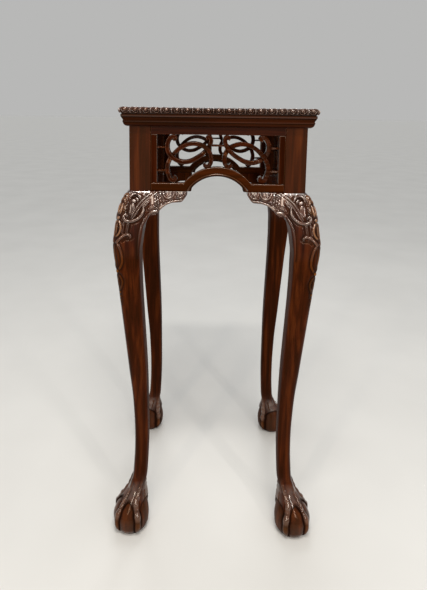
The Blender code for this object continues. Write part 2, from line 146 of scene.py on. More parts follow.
def cut(work, at, kind, points, width, rise, taper=(0.15, 0.15)):
    """One stroke of the carver's pattern: a bead, a double rib, a leaf with a sunk vein, or a pit."""
    line = drawn(points) if len(points) > 2 else np.array(points, float)
    room = width / 2 + 8
    inside = ((at > line.min(0) - room) & (at < line.max(0) + room)).all(1)
    if not inside.any():
        return
    away, share = follow(line, at[inside])
    thin = np.minimum(share / max(taper[0], 1e-6), (1 - share) / max(taper[1], 1e-6))
    thin = np.clip(thin, 0, 1) if max(taper) > 0 else np.ones_like(share)
    if kind == "leaf":
        thin = np.sin(np.pi * np.clip(share, 0.02, 0.98) ** 0.8) ** 0.7
    half = width / 2 * (0.25 + 0.75 * np.sqrt(thin))
    out = away / half
    crown = dome(out, 3)
    if kind == "pit":
        work["pit"][inside] = np.maximum(work["pit"][inside], rise * dome(out, fullness=1))
        return
    if kind == "rib":
        crown = np.maximum(dome((out - 0.56) / 0.44, 3), 0.35 * (out < 0.5))
    elif kind == "leaf":
        crown = crown * (0.5 + 0.5 * slope(out, 0, 0.3))
    lift = rise * crown * (0.4 + 0.6 * thin)
    work["rise"][inside] = np.maximum(work["rise"][inside], lift)
    work["edge"][inside] = np.minimum(work["edge"][inside], away - half)
    if kind != "bead":
        work["vein"][inside] = np.maximum(work["vein"][inside], 0.8 * around(away, 0, 0.6))


def carved(across, height, strokes, ground):
    """The relief that strokes leave at points of a face, how dark each point is with dirt and painted
    shade, and how far it is raised.
    """
    at = np.stack((across.ravel(), height.ravel()), 1)
    work = {name: np.zeros(len(at)) for name in ("rise", "vein", "pit")}
    work["edge"] = np.full(len(at), np.inf)
    for stroke in strokes:
        cut(work, at, *stroke)
    rise, vein, pit, edge = (part.reshape(across.shape) for part in work.values())
    edge = np.clip(edge, 0, None)
    relief = rise - ground * around(edge, 0, 3.0) - pit
    # The ground round each stroke, the leaves' veins and the pits are darkened with dirt and painted
    # shade.
    near = 0.7 * around(edge, 0, 3.6) + 0.3 * around(edge, 0, 1.0)
    hollow = np.maximum(near * (1 - slope(rise, 0, 0.9)), vein)
    return relief, np.maximum(hollow, slope(pit, 0, 1.2)), slope(rise, 0, 2.4)


ROUND = (0.0, 0.0)


def bead_at(x, z, radius, rise):
    """A round bead: a stroke with hardly any length, and with no taper."""
    return ("bead", ((x, z - 0.05), (x, z + 0.05)), 2 * radius, rise, ROUND)


# The pattern of a knee's front face and of the bracket beside it: distance from the middle plane,
# and height. It runs on across the joint between the two. Each stroke has its kind, its points, its
# width and rise, and the share of its length that tapers at each end.
KNEE_STROKES = [
    # the diagonal double rib, the scroll under it and the bead beside the inner edge
    ("rib", ((108, 686), (115.5, 681), (125.3, 674), (134.6, 666), (141.1, 658), (146.2, 649.6),
             (150.9, 641.8), (155.2, 635)), 8.6, 3.0, (0.0, 0.15)),
    ("bead", ((134.6, 660), (133.4, 652), (135.8, 643.8), (141.5, 637.0), (149, 632.6),
              (157, 630.6), (163.8, 631.4), (168.0, 635), (168.6, 639.6), (165.8, 642.4),
              (162.9, 640.8), (163.4, 637.8)), 6.2, 3.0, (0.2, 0.1)),
    ("bead", ((104, 647), (110, 648.4), (118.2, 647.2), (125.0, 641.6), (130.2, 635), (134.4, 627),
              (137.6, 618), (139.6, 608), (140.8, 596), (141.6, 580), (142.0, 562)),
     4.6, 1.6, (0.05, 0.5)),
    # the arched leaf over its eye, and the lobes beside it
    ("bead", ((138.5, 669.5), (141.5, 675.4), (147.5, 679.2), (154, 678.4), (158.4, 673.6),
              (159, 668.5)), 4.8, 2.2, (0.15, 0.2)),
    ("pit", ((145.5, 674.6), (150.5, 674.6), (155.0, 670.6)), 4.2, 2.0),
    ("bead", ((144.0, 668.6), (146.6, 671.0)), 5.4, 2.0, ROUND),
    ("bead", ((149.8, 666.0), (153.0, 667.6)), 6.6, 2.4, ROUND),
    ("leaf", ((131.4, 676.4), (135.0, 679.2), (139.0, 680.6)), 5.4, 1.6),
    ("leaf", ((159.6, 680.5), (162.6, 675), (164.8, 668)), 5.6, 2.0),
    # the beaded margin of the smooth leaf
    bead_at(162.4, 663.6, 2.0, 1.5), bead_at(164.4, 658.4, 2.0, 1.5), bead_at(165.6, 652.8, 2.0, 1.5),
    bead_at(166.0, 647.4, 1.9, 1.4), ("bead", ((154.0, 658), (155.2, 646.5)), 11.0, 1.5, ROUND),
    # the husks and stems below the scroll, the curl, and the leaves that die out down the shaft
    ("leaf", ((159.6, 630), (162.0, 619.3), (164.2, 607)), 5.4, 1.9),
    ("leaf", ((168.8, 629), (170.6, 618), (171.6, 606)), 5.6, 1.8),
    ("bead", ((183, 590.5), (174.4, 600.6), (167, 605.6), (160.4, 606.6), (156.0, 603.4),
              (157.6, 600.0)), 5.6, 2.8, (0.05, 0.2)),
    ("pit", ((157.5, 596.5), (166, 598.0), (172.5, 592.5)), 5.4, 1.1),
    ("bead", ((182, 592), (175.9, 582), (172.6, 570), (171.8, 556), (174.2, 547.3), (179.4, 539.0)),
     5.0, 2.0, (0.1, 0.1)),
    ("bead", ((179.6, 531.5), (174.0, 522), (172.4, 515), (174.3, 507), (178.4, 497.5)), 4.2, 1.6),
    # the bracket: smooth petal and rosette, small leaves, and the bead along its lower edge
    ("bead", ((118.4, 674.2), (117.4, 663.2)), 9.2, 2.4, ROUND),
    ("leaf", ((123.4, 669.5), (127.2, 664.4), (133.0, 657.6)), 6.6, 2.5),
    bead_at(107.6, 668.6, 2.8, 2.2),
    *(bead_at(107.6 + 5.4 * np.cos(a), 668.6 + 5.4 * np.sin(a), 2.5, 1.8)
      for a in np.radians(range(20, 360, 60))),
    ("leaf", ((124.0, 652.6), (119.0, 656.4), (112.8, 657.6)), 6.2, 2.0),
    bead_at(110.4, 653.4, 2.0, 1.8),
    ("leaf", ((107.6, 653.0), (103.4, 657.2), (99.4, 661.8)), 4.6, 1.7),
    ("bead", ((106.6, 648.0), (101.8, 654.6), (93, 661.0), (82, 664.6), (72, 666.0), (63.5, 667.2),
              (58.0, 673)), 4.2, 1.8, (0.1, 0.1)),
    ("bead", ((99.8, 685), (97.4, 677.0), (91, 671.4), (84.0, 672.4), (79.6, 678.0), (78.6, 685)),
     3.6, 1.8),
    ("bead", ((76.6, 685), (74, 677.4), (68.6, 671.4), (63.0, 673.0), (59.8, 678), (58.8, 685)),
     3.4, 1.7),
    ("leaf", ((90.0, 687), (88.6, 680), (87.6, 673.6)), 13.0, 1.9),
    ("leaf", ((68.2, 687), (67.4, 680), (66.4, 673.8)), 11.0, 1.8),
]
# The chain down the knee's outer corner: distance round from the corner, and height. A wheat ear
# comes first, then a bead, a husk with a raised rim, and stems and beads that grow smaller.
CORNER_STROKES = [
    *(bead_at(0, z, 2.3, 1.8) for z in (679, 671.5)),
    *(("leaf", ((0.8, z + 4), (4.0, z), (7.6, z - 5)), 4.6, 2.3) for z in (676, 668.5)),
    ("bead", ((2.8, 663), (3.8, 653), (2.2, 642.5)), 5.2, 2.6, (0.25, 0.25)),
    ("leaf", ((8.4, 662), (9.6, 654), (8.2, 645)), 4.0, 2.0),
    bead_at(0, 636.0, 3.6, 2.6),
    ("bead", ((0.5, 631.5), (6.2, 627), (8.8, 617.5), (6.6, 608), (1.5, 602.0)), 4.0, 2.2, (0.1, 0.1)),
    ("bead", ((0, 628), (0, 606)), 3.4, 1.6, (0.2, 0.2)),
    ("bead", ((0, 588), (0, 570), (0, 544)), 3.2, 1.1, (0.3, 0.3)),
    bead_at(0, 536.4, 3.2, 2.1),
    ("bead", ((0, 529), (0, 515), (0, 501)), 2.8, 1.0, (0.3, 0.3)),
    bead_at(0, 494.7, 2.6, 1.6), bead_at(0, 486.6, 2.3, 1.4), bead_at(0, 479.4, 2.0, 1.1),
    bead_at(0, 472.6, 1.7, 0.8),
]

# The claws' directions round the foot; the outward corner is at 45 degrees.
CLAW_TURNS = (45.0, 120.0, 225.0, 330.0)
NARROW_SPAN, WIDE_SPAN = (120.0 - 45.0) / 2, (225.0 - 120.0) / 2
# A claw's height, half width and rise, with the heights of its knuckles and the length of its folds.
KNUCKLES, FOLD = (31.0, 51.5), 10.0
CLAW_FORM = (
    (0, 3.2, 0.4), (5, 4.6, 2.2), (12, 5.6, 3.6), (20, 6.6, 4.8), (30, 6.2, 4.4), (41, 6.8, 6.6),
    (51, 5.4, 5.0), (61, 5.4, 6.8), (70, 4.6, 5.4), (80, 4.0, 4.0), (90, 3.5, 2.6), (104, 3.0, 1.0),
    (118, 2.6, 0.0),
)
# The skin between the claws, and the bare ball inside its arched edge: height, and rise.
SKIN_FORM = ((0, -1.2), (30, -0.8), (46, 1.6), (58, 3.6), (66, 3.4), (78, 1.4), (92, 0.3), (118, 0.0))
BALL_FORM = ((0, 0.4), (30, 0.7), (46, -0.2), (61, -2.6), (118, -3.0))
PANEL_TOP, PANEL_SPRING, BALL_CENTRE = 62.0, 46.0, 162.0


def leg_rings():
    """Half rings of the plain leg, from its outer corner over the front face and the inner side.

    Gives each ring's height, middle and half width, and each point's turn, radius and way round.
    """
    levels = np.concatenate((
        np.arange(0, FOOT_TOP, 1.0), np.arange(FOOT_TOP, CARVED_FROM, 8.0),
        np.arange(CARVED_FROM, LEDGE - 0.4, 0.95), [LEDGE],
    ))
    posts = np.array([APRON_FOOT, APRON_FOOT + 0.4, 720, 760, 800, FRAME_TOP - POST_EASED, FRAME_TOP])
    z = np.concatenate((levels, posts))
    outer = np.concatenate((leg_face(levels), np.full(len(posts), POST_FACE)))
    inner = np.concatenate((leg_inner(levels), np.full(len(posts), POST_INNER)))
    outer[-1] -= POST_EASED
    inner[-1] += POST_EASED
    middle, half = (outer + inner) / 2, (outer - inner) / 2
    heights, *powers = np.array(LEG_CORNER).T
    sharp = np.full(len(posts), 60.0)
    outer_power, inner_power = (
        np.concatenate((np.interp(levels, heights, part), sharp)) for part in powers)

    to_side = 360
    fine = np.radians(np.linspace(45.0, 225.0, 2 * to_side + 1))
    outward = np.maximum(0.0, np.cos(fine - np.pi / 4)) ** 2
    power = inner_power[:, None] + (outer_power - inner_power)[:, None] * outward
    reach = half[:, None] / (abs(np.cos(fine)) ** power + abs(np.sin(fine)) ** power) ** (1 / power)
    across, deep = reach * np.cos(fine), reach * np.sin(fine)
    run = np.hypot(np.diff(across), np.diff(deep)).cumsum(1)
    run = np.concatenate((np.zeros((len(z), 1)), run), 1)
    turn, radius, along = [], [], []
    for row_run, row_reach in zip(run, reach):
        face = np.linspace(0, row_run[to_side], FACE_COLUMNS + 1)
        side = np.linspace(row_run[to_side], row_run[-1], SIDE_COLUMNS + 1)[1:]
        along.append(np.concatenate((face, side)))
        turn.append(np.interp(along[-1], row_run, fine))
        radius.append(np.interp(along[-1], row_run, row_reach))
    return z, middle, half, np.array(turn), np.array(radius), np.array(along)


def foot_carving(z, middle, half, turn, radius):
    """How far the foot stands out of the plain leg, and its marks.

    Claws stand out of the ball, with sunk panels of bare ball between them and skin above.
    """
    level = np.broadcast_to(z[:, None], turn.shape)
    claw_z, *claw_sizes = np.array(CLAW_FORM).T
    half_claw, rise_claw = (fair(list(zip(claw_z, size)), z)[:, None] for size in claw_sizes)
    # The carving dies out up the ankle, and low down the claws spread from the ball's own middle.
    foot = slope(level, 112, 92)
    low = slope(level, FOOT_TOP, FOOT_TOP - 50)
    aside = np.maximum(middle - BALL_CENTRE, -0.4 * half)[:, None]
    about_ball = np.arctan2(aside + radius * np.sin(turn), aside + radius * np.cos(turn))
    bearing = turn + (np.unwrap(about_ball, axis=1) - turn) * low
    gap = np.full(turn.shape, np.inf)
    for at in CLAW_TURNS:
        off = np.radians(at) - bearing
        gap = np.minimum(gap, abs(np.arctan2(np.sin(off), np.cos(off))))
    round_way = gap * radius
    out = round_way / half_claw
    folds = 0.5 * np.sin(level * 2 * np.pi / FOLD) * around(level, 66, 24, 4)
    claw = (rise_claw + folds) * dome(out)

    span = np.where(np.sin(bearing - np.radians(CLAW_TURNS[1])) > 0, WIDE_SPAN, NARROW_SPAN)
    room = np.radians(span) * radius - half_claw - 0.8
    from_middle = np.radians(span) * radius - round_way
    arch_high = PANEL_TOP - PANEL_SPRING
    to_edge = 1 - np.hypot(from_middle / room, np.clip(level - PANEL_SPRING, 0, None) / arch_high)
    to_edge = to_edge * np.minimum(room, arch_high)
    in_panel = slope(to_edge, 0, 5)
    ball = fair(BALL_FORM, z)[:, None] - 3.0 * (1 - np.clip(in_panel * 2.2, 0, 1)) ** 2
    swell = np.where(in_panel > 0, ball, fair(SKIN_FORM, z)[:, None])

    # Dirt and painted shade darken the edge round the panels, beside the claws and in the knuckles.
    # The claws' backs and the skin between them are waxed; the claws and the ball are paled a little,
    # and the middle of the skin between the claws gets a painted golden highlight.
    border = around(to_edge, 0, 2.2, 4)
    beside = around(out, 1.05, 0.22) * slope(level, 92, 62)
    knuckle = sum(around(level, at, 1.4) for at in KNUCKLES) * (out < 0.8) * 0.6
    web = (in_panel <= 0) * slope(level, 54, 62) * slope(level, 96, 80) * around(from_middle, 0, 9)
    backs = slope(claw, 0, 4) ** 2 * slope(level, 30, 46)
    wear_and_highlight = np.maximum(0.28 * slope(claw, 0, 5), np.maximum(0.1 * in_panel, 0.2 * web))
    return foot * np.maximum(claw, swell), {
        "hollow": np.maximum(np.maximum(border, beside * 0.8), knuckle) * foot,
        "crest": foot * wear_and_highlight,
        "wax": foot * np.maximum(0.08 * in_panel, 0.05 + np.maximum(0.6 * backs, 0.8 * web)),
        "sawn": beside * foot,
    }


def knee_carving(x, y, z, along):
    """How far the knee's carving moves each point along the skin's own normal, and its marks.

    It fades where the face turns to the inner side.
    """
    down, sideways = (np.stack([np.gradient(part, axis=way) for part in (x, y, z)], -1)
                      for way in (0, 1))
    normal = np.cross(sideways, down)
    normal /= np.linalg.norm(normal, axis=-1, keepdims=True)
    normal[:, 0, :2] = normal[:, 0, :2].mean(1, keepdims=True)
    normal *= np.sign(normal[:, 10:11, 1:2])
    relief, hollow, crest = carved(x, z, KNEE_STROKES, KNEE_GROUND)
    chain, chain_hollow, chain_crest = carved(along, z, CORNER_STROKES, CHAIN_GROUND)
    # The chain down the corner lies over the face's own carving.
    over = chain > relief
    both_sunk = (relief < 0) & (chain <= 0)
    covered = slope(np.where(over, chain_crest, crest), 0, 0.5)
    dark = np.where(over, chain_hollow, hollow)
    dark = np.maximum(dark, np.maximum(hollow, chain_hollow) * (1 - covered))
    relief = np.where(both_sunk, np.minimum(relief, chain), np.where(over, chain, relief))
    column = np.arange(x.shape[1])
    turned_away = slope(column, FACE_COLUMNS - 1, FACE_COLUMNS - 4)
    fade = np.where((z > BRACKET_JOINT) & (column < FACE_COLUMNS), 1.0, turned_away)
    fade = fade * np.maximum(slope(z, LEDGE - 2.4, LEDGE - 4.6), 0.02)
    fade = fade * slope(z, CARVED_FROM - 1, CARVED_FROM + 7)
    polish = np.maximum(np.maximum(crest, chain_crest) * fade, z > LEDGE - 4.2)
    # The grounds are darkened with dirt and painted shade; the face's raised carving is paled a little
    # as wear, and the corner chain strongly as a painted golden highlight.
    return normal * (relief * fade)[..., None], {
        "hollow": dark * fade,
        "crest": np.maximum(0.2 * crest, chain_crest) * fade,
        "wax": (0.15 + 0.85 * polish) * slope(z, 560, 630),
    }


def leg_points():
    """Points over the leg's skin, ring by ring from the floor up, with the marks on them."""
    z, middle, half, turn, radius, along = leg_rings()
    swelling, marks = foot_carving(z, middle, half, turn, radius)
    x = middle[:, None] + (radius + swelling) * np.cos(turn)
    y = middle[:, None] + (radius + swelling) * np.sin(turn)
    height = np.repeat(z[:, None], turn.shape[1], 1)
    inner_side = slope(np.arange(turn.shape[1]), FACE_COLUMNS, FACE_COLUMNS + 3)
    marks["sawn"] = np.maximum(inner_side, marks["sawn"])
    marks["crest"][z > LEDGE], marks["wax"][z > LEDGE] = 0.06, 0.08

    knee = (z >= CARVED_FROM) & (z <= LEDGE)
    plain_x, plain_z = x[knee], height[knee]
    move, knee_marks = knee_carving(plain_x, y[knee], plain_z, along[knee])
    x[knee] = np.maximum(plain_x + move[..., 0], np.minimum(plain_x, leg_inner(plain_z)))
    y[knee] += move[..., 1]
    height[knee] = np.minimum(plain_z + move[..., 2], LEDGE)
    for mark, values in knee_marks.items():
        marks[mark][knee] = values

    # The other half of each ring is the mirror of this one.
    front = np.stack((-x, -y, height), -1)
    left = np.stack((-y, -x, height), -1)
    rows = capped(np.concatenate((left[:, :0:-1], front), 1))
    marks = {mark: np.concatenate((part[:, :0:-1], part), 1) for mark, part in marks.items()}
    return rows, bordered(marks)


def capped(rows, closed=False):
    """Rows of points with a pole added at each end; in closed rows the last point is the first."""
    first, last = (np.broadcast_to(row[:len(row) - closed].mean(0), (1, *row.shape))
                   for row in (rows[0], rows[-1]))
    return np.concatenate((first, rows, last))


def bordered(marks, before=0, after=0):
    """Marks with plain points round them: for the poles, and before and after the carved face."""
    return {mark: np.pad(part, ((1, 1), (before, after))) for mark, part in marks.items()}


def skin(rows, marks, angle=50.0):
    """A grid of faces laid over rows of points, its seams and poles closed and its faces outwards."""
    count, columns = rows.shape[:2]
    bpy.ops.object.select_all(action="DESELECT")
    bpy.ops.mesh.primitive_grid_add(x_subdivisions=columns - 1, y_subdivisions=count - 1, size=1.0)
    piece = bpy.context.object
    spots = np.empty(count * columns * 3)
    piece.data.vertices.foreach_get("co", spots)
    spots = spots.reshape(-1, 3) + 0.5
    column = np.rint(spots[:, 0] * (columns - 1)).astype(int)
    row = np.rint(spots[:, 1] * (count - 1)).astype(int)
    piece.data.vertices.foreach_set("co", (rows[row, column] * MM).ravel())
    for mark, values in marks.items():
        marked = piece.data.attributes.new(mark, "FLOAT", "POINT")
        marked.data.foreach_set("value", np.broadcast_to(values, (count, columns))[row, column])
    close_up(piece)
    bpy.ops.object.shade_smooth_by_angle(angle=np.radians(angle))
    return piece


def close_up(piece, join_flats=False):
    """Merges a mesh's doubles, turns its faces outwards and, if asked, joins those that lie flat."""
    bpy.ops.object.select_all(action="DESELECT")
    piece.select_set(True)
    bpy.context.view_layer.objects.active = piece
    bpy.ops.object.mode_set(mode="EDIT")
    bpy.ops.mesh.select_all(action="SELECT")
    bpy.ops.mesh.remove_doubles(threshold=2e-6)
    bpy.ops.mesh.normals_make_consistent(inside=False)
    if join_flats:
        bpy.ops.mesh.dissolve_limited(angle_limit=np.radians(0.5))
    bpy.ops.object.mode_set(mode="OBJECT")


def linear(colour):
    """An sRGB hex colour as linear light."""
    parts = [int(colour[k:k + 2], 16) / 255 for k in (0, 2, 4)]
    return [*(c / 12.92 if c <= 0.04045 else ((c + 0.055) / 1.055) ** 2.4 for c in parts), 1.0]


def node(material, kind, values=(), links=(), stops=(), **settings):
    """One shader node with its settings, its plain values, its colour stops and what feeds it."""
    made = material.node_tree.nodes.new("ShaderNode" + kind)
    for name, value in settings.items():
        setattr(made, name, value)
    wire(material, made, values, links)
    for k, (position, colour) in enumerate(stops):
        stop = made.color_ramp.elements[k] if k < 2 else made.color_ramp.elements.new(position)
        stop.position, stop.color = position, linear(colour)
    return made


def wire(material, made, values, links):
    """Sets the plain values of a node's sockets, and links the others to what feeds them."""
    for socket, value in values:
        made.inputs[socket].default_value = value
    for socket, source in links:
        material.node_tree.links.new(source, made.inputs[socket])


def new_finish(name):
    """A material, its shader, and the place on the piece by which its pattern is laid."""
    material = bpy.data.materials.new(name)
    material.use_nodes = True
    place = node(material, "TexCoord").outputs["Object"]
    return material, material.node_tree.nodes["Principled BSDF"], place


# French-polished mahogany: a red-brown wood with a ribbon figure, dark growth lines and short open
# pores, under a thin glossy film of shellac. Its hollows and the places under other parts are darkened
# with old dirt and painted shade, and its crests and the edges that face the lamps are paled with wear
# and painted highlight. The eye gets a deep warm brown with small bright lights.
def mahogany(name, grain, tones):
    material, shader, place = new_finish(name)
    # The figure is drawn out twenty times along the grain.
    stretch = [1.0, 1.0, 1.0]
    stretch["xyz".index(grain)] = 0.05
    wood = node(material, "Mapping", [("Scale", stretch), ("Location", (0.02, 0.01, 0.0))],
                [("Vector", place)]).outputs["Vector"]
    # Ribbon stripes about 9 mm wide, growth lines about 4 mm, pores drawn 1.6 mm wide to show.
    layers = []
    for scale, detail, stops in (
        (110.0, 2.0, zip((0.38, 0.5, 0.62), tones)),
        (250.0, 2.0, ((0.36, "b8aca6"), (0.62, "ffffff"))),
        (620.0, 1.0, ((0.32, "9a8d86"), (0.42, "ffffff"))),
    ):
        noise = node(material, "TexNoise", [("Scale", scale), ("Detail", detail)], [("Vector", wood)])
        ramp = node(material, "ValToRGB", links=[("Fac", noise.outputs["Fac"])], stops=stops)
        layers.append((noise.outputs["Fac"], ramp.outputs[0]))
    (_, tone), (lines, darker), (pores, dashes) = layers
    for share, layer in ((0.5, darker), (0.4, dashes)):
        tone = node(material, "Mix", [(0, share)], [(6, tone), (7, layer)],
                    data_type="RGBA", blend_type="MULTIPLY").outputs[2]
    # The crest mark pales the wood with wear and painted highlight, and the hollow mark darkens it
    # with dirt and painted shade; both hollows and sawn faces are dull.
    hollow, crest, wax, sawn = (node(material, "Attribute", attribute_name=mark).outputs["Fac"]
                                for mark in ("hollow", "crest", "wax", "sawn"))
    wear_and_highlight, dirt_and_shade = (node(material, "Math", [(1, share)], [(0, mark)], operation="MULTIPLY").outputs[0]
                    for mark, share in ((crest, 0.8), (hollow, 0.9)))
    for share, colour in ((wear_and_highlight, "85521e"), (dirt_and_shade, "0d0403")):
        tone = node(material, "Mix", [(7, linear(colour))], [(0, share), (6, tone)],
                    data_type="RGBA").outputs[2]
    gloss = node(material, "MapRange", [("To Min", 0.18), ("To Max", 0.1)], [("Value", lines)])
    dull = gloss.outputs[0]
    for mark in (hollow, sawn):
        dull = node(material, "Math", [(1, 0.5)], [(0, mark), (2, dull)],
                    operation="MULTIPLY_ADD").outputs[0]
    # The polish follows the grain a little, over slow waves some 25 mm long from the scraper.
    waves = node(material, "TexNoise", [("Scale", 40.0), ("Detail", 1.0)], [("Vector", place)])
    slow = node(material, "Bump", [("Strength", 0.2), ("Distance", 0.002)],
                [("Height", waves.outputs["Fac"])])
    fine = node(material, "Bump", [("Strength", 0.12), ("Distance", 0.0005)],
                [("Height", pores), ("Normal", slow.outputs["Normal"])])
    # Wax brushed into the carving gives it a second, whiter light, but not down in the darkened
    # hollows.
    clean = node(material, "Math", [(0, 1.0)], [(1, dirt_and_shade)], operation="SUBTRACT", use_clamp=True)
    coat = node(material, "Math", links=[(0, wax), (1, clean.outputs[0])], operation="MULTIPLY")
    wire(material, shader,
         [("Coat Roughness", 0.12), ("Coat IOR", 2.1), ("IOR", 1.5), ("Specular IOR Level", 0.18),
          ("Specular Tint", linear("ffa860"))],
         [("Base Color", tone), ("Roughness", dull), ("Normal", fine.outputs["Normal"]),
          ("Coat Weight", coat.outputs[0])])
    return material


LEG_TONES = ("250902", "330f04", "471d08")
leg_mahogany = mahogany("mahogany_leg", "z", LEG_TONES)


def finish(piece, node_name, material):
    """Gives a piece its wood, and puts it in the place of its CAD node."""
    piece.name = piece.data.name = "shown_" + node_name
    piece.data.materials.clear()
    piece.data.materials.append(material)
    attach(piece, "root")
    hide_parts(node_name)


def copy_turned(piece, quarter_turns):
    """A copy of a piece with its own mesh, turned about the stand's middle to another side."""
    mesh = piece.data.copy()
    mesh.transform(Matrix.Rotation(quarter_turns * np.pi / 2, 4, "Z"))
    other = bpy.data.objects.new(piece.name, mesh)
    bpy.context.scene.collection.objects.link(other)
    return other


def block(low, high):
    """A plain block between two corners, to cut with."""
    low, high = np.array(low) * MM, np.array(high) * MM
    bpy.ops.object.select_all(action="DESELECT")
    bpy.ops.mesh.primitive_cube_add(size=1.0, location=(low + high) / 2, scale=high - low)
    return bpy.context.object


def combine(piece, tools, operation):
    """Cuts the tools out of a piece or joins them to it, and clears the tools away."""
    for tool in tools:
        step = piece.modifiers.new("combine", "BOOLEAN")
        step.operation, step.solver, step.object = operation, "EXACT", tool
        bpy.context.view_layer.objects.active = piece
        bpy.ops.object.modifier_apply(modifier=step.name)
        bpy.data.objects.remove(tool)


RAIL_FACE, RAIL_BACK = 159.5, 139.5
HEAD, SILL = 787.0, 697.7
TENON_END, TENON_HALF, TENON_SHOULDER = 140.8, 4.3, 2.2
MORTISE_MOUTH = -POST_INNER + 2

leg = skin(*leg_points())
middle = (RAIL_FACE + RAIL_BACK) / 2
near, far = -middle - TENON_HALF, -middle + TENON_HALF
mortises = []
for low, high in ((HEAD, FRAME_TOP), (APRON_FOOT, SILL)):
    low, high = low + TENON_SHOULDER, high - TENON_SHOULDER
    mortises.append(block((-TENON_END, near, low), (MORTISE_MOUTH, far, high)))
    mortises.append(block((near, -TENON_END, low), (far, MORTISE_MOUTH, high)))
combine(leg, mortises, "DIFFERENCE")
legs = [leg] + [copy_turned(leg, turns) for turns in (1, 2, 3)]
for piece, corner in zip(legs, CORNERS):
    finish(piece, "leg_" + corner, leg_mahogany)

# ----------------------------------------------------------
# Apron rails and stiles
# Sawn mahogany boards with their grain along them: the rails are tenoned into the posts, the lower
# one is cut to an arch, and a narrow stile stands against each post. Their edges are eased by plane.
SIDES = ("front", "right", "rear", "left")
EASED, CREASE = 0.9, np.radians(35)

# The same polished mahogany as the legs, with less figure and a little darker: partly a darker wood,
# and partly painted shade for the aprons under the top.
APRON_TONES = ("200601", "2c0b02", "381305")
upright_mahogany = mahogany("mahogany_upright", "z", APRON_TONES)
level_mahogany = [mahogany("mahogany_level_" + grain, grain, APRON_TONES) for grain in "xy"]


def eased_copy(node_name, film=0.0, paled=0.0):
    """A copy of a CAD node as one clean mesh, its sharp edges eased and given a painted highlight, its
    sawn faces dull.

    film is the wax left on all its faces, and the last argument is how far all of them are paled
    evenly.
    """
    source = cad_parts[node_name]
    piece = bpy.data.objects.new(node_name, source.data.copy())
    bpy.context.scene.collection.objects.link(piece)
    close_up(piece, join_flats=True)
    bevel = piece.modifiers.new("eased", "BEVEL")
    bevel.width, bevel.segments = EASED * MM, 2
    bevel.limit_method, bevel.angle_limit = "ANGLE", CREASE
    bpy.ops.object.modifier_apply(modifier=bevel.name)
    keep_flat(piece)
    across = 1 if "front" in node_name or "rear" in node_name else 0
    normals = np.array([face.normal for face in piece.data.polygons])
    # The eased edges that do not face down get a painted highlight line and wax; the sawn faces are
    # only made dull.
    eased = (abs(normals).max(1) < 0.98) & (normals[:, 2] > -0.2)
    sawn = abs(normals[:, across]) < 0.3
    marks = {"sawn": sawn, "crest": paled + 0.25 * eased, "wax": film + 0.4 * eased}
    for mark, values in marks.items():
        marked = piece.data.attributes.new(mark, "FLOAT", "FACE")
        marked.data.foreach_set("value", values.astype(np.float32))
    return piece


def keep_flat(piece):
    """Shades a piece's roundings smooth and leaves its flat faces flat."""
    bpy.context.view_layer.objects.active = piece
    bpy.ops.object.shade_smooth_by_angle(angle=CREASE)
    step = piece.modifiers.new("flats", "WEIGHTED_NORMAL")
    step.keep_sharp = True
    bpy.ops.object.modifier_apply(modifier=step.name)


for turns, side in enumerate(SIDES):
    for name, film, paled in (("top_rail_" + side, 0.08, 0.0), ("arched_rail_" + side, 0.0, 0.05)):
        rail = eased_copy(name, film, paled)
        finish(rail, name, level_mahogany[turns % 2])
    for end in ("_a", "_b"):
        name = "stile_" + side + end
        finish(eased_copy(name), name, upright_mahogany)

# ----------------------------------------------------------
# Arch beads
# A thin mahogany bead, rounded at the front, is bent round the underside of each arch and glued on.
# Its two feet swell a little where the arch ends.
ARCH_RADIUS, ARCH_CENTRE, BEAD = 61.127, 650.573, 5.0
BEAD_FACE, BEAD_TOE, BEAD_NOSE, BEAD_DEEP = 161.0, 3.0, 1.9, 19.6
NOSE_SHARE, THIN_CREASE = 0.94, 40.0


def bead_rows():
    """Sections of the bead from one foot of the arch to the other."""
    half_turn = np.arccos((APRON_FOOT - ARCH_CENTRE) / (ARCH_RADIUS + BEAD / 2))
    nose = [(NOSE_SHARE * BEAD / 2 * (1 - np.cos(a)), BEAD_NOSE * np.sin(a))
            for a in np.linspace(0, np.pi, 13)]
    back = [(BEAD - FIT, -BEAD_DEEP), (0.0, -BEAD_DEEP)]
    reach, proud = np.array([back[1], (0.05, -2.0), *nose, *back]).T
    deep = BEAD_FACE - BEAD_NOSE + proud
    rows = []
    for turn in np.linspace(-half_turn, half_turn, 61):
        toe = BEAD_TOE * slope(abs(turn) / half_turn, 0.84, 0.94)
        radius = ARCH_RADIUS + reach - toe * (1 - reach / BEAD)
        height = np.maximum(ARCH_CENTRE + radius * np.cos(turn), APRON_FOOT)
        rows.append(np.stack((radius * np.sin(turn), -deep, height), -1))
    rows = capped(np.array(rows), closed=True)
    # The joint with the rail and the lower part of the bead are darkened with painted shade, and the
    # upper side of its nose gets a painted highlight line, with wax.
    beside_rail, under_arch = slope(reach, BEAD - 0.5, BEAD - 0.2), slope(reach, 3.7, 3.0)
    painted_shade = np.maximum(beside_rail, 0.85 * under_arch)
    wear_and_highlight = around(reach, 4.15, 0.5)
    return rows, {"hollow": painted_shade, "crest": 0.4 * wear_and_highlight, "wax": 0.6 * wear_and_highlight}


def on_each_side(piece, name):
    """Copies a front piece to the other three sides, and finishes all four."""
    for turns, side in enumerate(SIDES):
        other = copy_turned(piece, turns) if turns else piece
        finish(other, name + side, level_mahogany[turns % 2])


on_each_side(skin(*bead_rows(), angle=THIN_CREASE), "arch_bead_")

# ----------------------------------------------------------
# Frets
# Each apron opening holds a pierced fret: mahogany straps that curl and pass over and under each
# other, sawn from one board and carved so that they look woven. Short ties hold them to the stiles.

